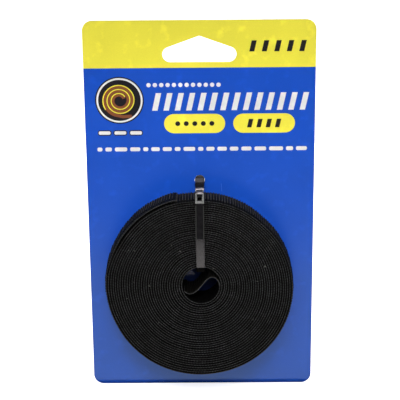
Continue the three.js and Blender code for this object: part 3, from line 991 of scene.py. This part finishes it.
def tie_strap():
    """The strap, swept along its way round the roll and the card."""
    line = strap_line()
    along = lengths_along(line)
    total = along[-1]
    panel_start = total - (STRAP_END_Z - PANEL_BOTTOM)
    panel_end = total - (STRAP_END_Z - PANEL_TOP)
    panel_places = [panel_start, panel_start + PANEL_EDGE, panel_end - PANEL_EDGE, panel_end]
    floors = tooth_floors(total)
    stops = strap_stops(along, floors, panel_places)
    yz = points_at(stops, along, line)
    before, after = (points_at(np.clip(stops + step, 0, total), along, line) for step in (-0.05, 0.05))
    way = unit(after - before)
    toothed = np.stack([way[:, 1], -way[:, 0]], 1)
    cut = np.interp(stops, floors[:, 0], floors[:, 1])
    sunk = np.interp(stops, panel_places, [0, 1, 1, 0]) * PANEL_DEPTH
    squeeze = 0.9 + 0.1 * np.clip(stops / TIP_LENGTH, 0, 1)
    width_places = TIP_PLACES + [total - back for back in HEAD_PLACES]
    half_width = STRAP_W * np.interp(stops, width_places, WIDTH_SHARES) / 2
    middle = TIE_X + np.interp(stops, [total - back for back in SWAY_PLACES], SWAYS)
    section = np.array([strap_ring(*sizes) for sizes in zip(half_width, sunk, cut, squeeze)])
    count, around, _ = section.shape
    swept = yz[:, None, :] + toothed[:, None, :] * section[:, :, 1:]
    vertices = np.concatenate([section[:, :, :1] + middle[:, None, None], swept], axis=2).reshape(-1, 3)
    uvs = np.stack([np.repeat(stops, around) * MM, section[:, :, 0].ravel() * MM], 1)
    finishes = [NYLON, NYLON_PANEL, NYLON_RUBBED, NYLON_SHADED]
    slots = np.zeros((count - 1, around), int)
    in_panel = (stops[:-1] >= panel_start - 1e-6) & (stops[1:] <= panel_end + 1e-6)
    slots[np.ix_(in_panel, PANEL_FACES)] = finishes.index(NYLON_PANEL)
    slots[np.ix_(in_panel, RAIL_FACES)] = finishes.index(NYLON_RUBBED)
    slots[stops[:-1] < DULL_END] = finishes.index(NYLON_PANEL)
    # Painted shade: the strap round the lower hole takes the near-black nylon.
    slots[yz[:-1, 1] < LOWER_HOLE_Z + SHADE_ABOVE_HOLE] = finishes.index(NYLON_SHADED)
    faces = bridge(0, count, around)
    return piece("tie_strap", vertices, faces, finishes, [*slots.ravel(), 0, 0], uvs, sharp=32)


def block(points, half_width):
    """A side view in depth and height, made solid about the strap's middle."""
    n = len(points)
    vertices = [(TIE_X + s * half_width, y, z) for s in (-1, 1) for y, z in points]
    faces = [list(range(n)), list(range(2 * n - 1, n - 1, -1))]
    faces += [[i, i + n, (i + 1) % n + n, (i + 1) % n] for i in range(n)]
    return vertices, faces


def box_points(y0, y1, z0, z1):
    return [(y0, z0), (y1, z0), (y1, z1), (y0, z1)]


def settle(made):
    """Puts the mesh that an object's modifiers give in their place."""
    graph = bpy.context.evaluated_depsgraph_get()
    mesh = bpy.data.meshes.new_from_object(made.evaluated_get(graph))
    made.modifiers.clear()
    made.data = mesh


def head_cuts():
    """What is cut out of the head: side views with their half widths and their finishes' slots."""
    f, b = HEAD_FRONT, HEAD_BACK
    room = HEAD_FLOOR + 0.62
    lip, top = room - 0.36, room + 0.1
    sill = [(f - 0.6, top), (f + 0.5, top), (f + 0.5, room), (f, lip), (f - 0.6, lip)]
    return [
        (box_points(f - CUT_OVERRUN, b + CUT_OVERRUN, SLOT_Z - 0.62, SLOT_Z + 0.45), 1.08, 0),
        (box_points(f - CUT_OVERRUN, b - 1, room, SLOT_Z), 0.93, 0),
        # The sill's faces take the pale nylon: a painted highlight.
        (sill, 1.3, 1),
        (box_points(b - 1.2, b + CUT_OVERRUN, SLOT_Z - 0.66, SLOT_Z + 0.66), 1.5, 0),
    ]


def tie_head():
    """The locking head, with its slot and its window over a sloped sill. Its rounded edges, its sill and
    some of its faces are pale: a painted highlight.
    """
    strap_back = FRONT_RUN_Y + STRAP_T / 2
    f, b, t = HEAD_FRONT, HEAD_BACK, HEAD_TOP
    outline = [
        (f, HEAD_SKIRT), (strap_back, HEAD_SKIRT), (strap_back, HEAD_FLOOR), (b, HEAD_FLOOR),
        (b, t - 0.1), (b - 0.3, t + 0.12), (b - 0.5, t + 0.12), (b - 1.0, t - 0.68), (f + 2.6, t - 1.0),
        (f + 1.6, t - 0.55), (f + 0.95, t + 0.2), (f + 0.42, t + 0.2), (f, t - 0.45),
    ]
    # These sides take the pale nylon: a painted highlight.
    highlit_sides = (7, 8, 9, 12)
    finishes = [NYLON, NYLON_EDGE_HIGHLIGHT]
    vertices, faces = block(outline, HEAD_HALF)
    slots = [int(i - 2 in highlit_sides) for i in range(len(faces))]
    made = piece("tie_head", vertices, faces, finishes, slots)
    cutters = []
    for i, (points, half, slot) in enumerate(head_cuts()):
        vertices, faces = block(points, half)
        cutter = piece(f"cutter_{i}", vertices, faces, finishes, [slot] * len(faces))
        cutters.append(cutter)
        cut = made.modifiers.new(f"cut_{i}", "BOOLEAN")
        cut.operation = "DIFFERENCE"
        cut.solver = "EXACT"
        cut.object = cutter
    bevel = made.modifiers.new("edges", "BEVEL")
    bevel.width = HEAD_ROUND * MM
    # The rounded edges take the pale nylon: a painted highlight.
    bevel.material = finishes.index(NYLON_EDGE_HIGHLIGHT)
    bevel.segments = 3
    bevel.limit_method = "ANGLE"
    bevel.angle_limit = math.radians(20)
    settle(made)
    for cutter in cutters:
        bpy.data.objects.remove(cutter)
    smooth(made.data, sharp=35)
    return made


# Pieces on their bodies

card = header_card()
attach(card, "card")
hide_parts("backing_card")

for part in tape_pieces():
    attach(part, "roll")
    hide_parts("tape_roll")

for part in (tie_strap(), tie_head()):
    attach(part, "card")
    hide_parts("cable_tie")

pawl = frame["nodes"]["tie_pawl"]
pawl.data.materials.clear()
pawl.data.materials.append(nylon("nylon_tongue", 0.28))


# Studio

# The floor's rings as (radius, rise), from the flat middle to the top of the wall.
FLOOR_RINGS = [(2600, 0), (3000, 160), (3100, 2600)]
FLOOR_SIDES = 64
# The sky's greys, from straight down to straight up: dark to the sides and bright overhead.
SKY = [(0.0, 0.0), (0.5, 0.02), (0.8, 0.06), (0.88, 0.8), (0.94, 1.9), (1.0, 2.1)]


def floor():
    """A pale round floor that rises to a wall far off."""
    f = Finish("floor_pale", 0.8, 0.1, Emission_Strength=0.75, Emission_Color=(1, 1, 1, 1))
    f.colour(f.cloud(900, (0.3, 0.88), (0.7, 0.93), detail=2))
    foot = CARD_BOTTOM - 0.1
    vertices = [(x, y, foot + rise) for r, rise in FLOOR_RINGS for x, y in circle(0, 0, r, FLOOR_SIDES)]
    faces = bridge(0, len(FLOOR_RINGS), FLOOR_SIDES, closed_ends=False) + [list(range(FLOOR_SIDES))]
    made = piece("floor", vertices, faces, [f.material], closed=False)
    made.visible_diffuse = made.visible_glossy = made.visible_shadow = False


def area_light(name, place, aim, size, radiance, spread=180, diffuse=True, glossy=True, colour=(1, 1, 1)):
    """A rectangle of light, whose power follows from its radiance and its size."""
    data = bpy.data.lights.new(name, "AREA")
    data.shape = "RECTANGLE"
    data.size, data.size_y = size[0] * MM, size[1] * MM
    data.energy = radiance * math.pi * data.size * data.size_y
    data.spread = math.radians(spread)
    data.color = colour
    made = bpy.data.objects.new(name, data)
    bpy.context.scene.collection.objects.link(made)
    way = Vector(aim) - Vector(place)
    made.location = Vector(place) * MM
    made.rotation_mode = "QUATERNION"
    made.rotation_quaternion = way.to_track_quat("-Z", "Y")
    made.visible_camera = False
    made.visible_diffuse = diffuse
    made.visible_glossy = glossy


def table_light(name, x, y, rise, size, radiance, **options):
    """A light that lies just above the table and faces up."""
    area_light(name, (x, y, CARD_BOTTOM + rise), (x, y, 0), size, radiance, **options)


def world():
    """A grey sky that follows the height of the view, brought from (-1, 1) to (0, 1)."""
    made = bpy.data.worlds.new("studio")
    bpy.context.scene.world = made
    made.use_nodes = True
    nodes, links = made.node_tree.nodes, made.node_tree.links
    place = nodes.new("ShaderNodeTexCoord")
    split = nodes.new("ShaderNodeSeparateXYZ")
    ramp = nodes.new("ShaderNodeValToRGB")
    shift = nodes.new("ShaderNodeMath")
    shift.operation = "MULTIPLY_ADD"
    shift.inputs[1].default_value = 0.5
    shift.inputs[2].default_value = 0.5
    links.new(place.outputs["Generated"], split.inputs["Vector"])
    links.new(split.outputs["Z"], shift.inputs[0])
    links.new(shift.outputs[0], ramp.inputs["Fac"])
    fill_ramp(ramp, SKY)
    links.new(ramp.outputs["Color"], nodes["Background"].inputs["Color"])


def camera(place, pitch, yaw, roll, lens):
    """The photograph's own viewpoint: 20 degrees down, from straight ahead."""
    pitch, yaw, roll = (math.radians(a) for a in (pitch, yaw, roll))
    ahead = Vector((math.sin(yaw) * math.cos(pitch), math.cos(yaw) * math.cos(pitch), -math.sin(pitch)))
    right = Vector((math.cos(yaw), -math.sin(yaw), 0))
    up = right.cross(ahead)
    turned_right = math.cos(roll) * right + math.sin(roll) * up
    turned_up = math.cos(roll) * up - math.sin(roll) * right
    data = bpy.data.cameras.new("camera")
    data.sensor_width = 36
    data.lens = lens
    data.clip_start, data.clip_end = 0.01, 20
    made = bpy.data.objects.new("camera", data)
    axes = Matrix((turned_right, turned_up, -ahead)).transposed().to_4x4()
    made.matrix_world = Matrix.Translation(Vector(place) * MM) @ axes
    bpy.context.scene.collection.objects.link(made)
    bpy.context.scene.camera = made


floor()
world()
camera(place=(4.159, -565.601, 139.498), pitch=19.992, yaw=-0.449, roll=-0.543, lens=137.51)
area_light("key", place=(-8, -240, 150), aim=(-8, 0, -44), size=(420, 90), radiance=0.79, spread=30)
area_light("front", place=(-8, -240, 60), aim=(-8, 0, -84), size=(420, 90), radiance=1.03, spread=100)
table_light("table_bounce", x=14, y=-95.5, rise=0.4, size=(320, 189), radiance=0.43, glossy=False)
# The table's shine, seen in the card and in the strap, is a little green.
glare = {"diffuse": False, "colour": (1, 1.03, 0.92)}
table_light("table_glare", x=0, y=-76, rise=1.2, size=(320, 150), radiance=3.1, **glare)
table_light("far_glare", x=0, y=-167, rise=1.2, size=(46, 32), radiance=2.9, **glare)
for side in (-1, 1):
    area_light(f"side_{side}", place=(300 * side, -120, -80), aim=(0, -14, -80), size=(240, 300),
               radiance=0.9, diffuse=False)
area_light("back_fill", place=(0, 320, -75), aim=(0, 0, -75), size=(260, 180), radiance=1.6)
bpy.context.scene.view_settings.view_transform = "Standard"
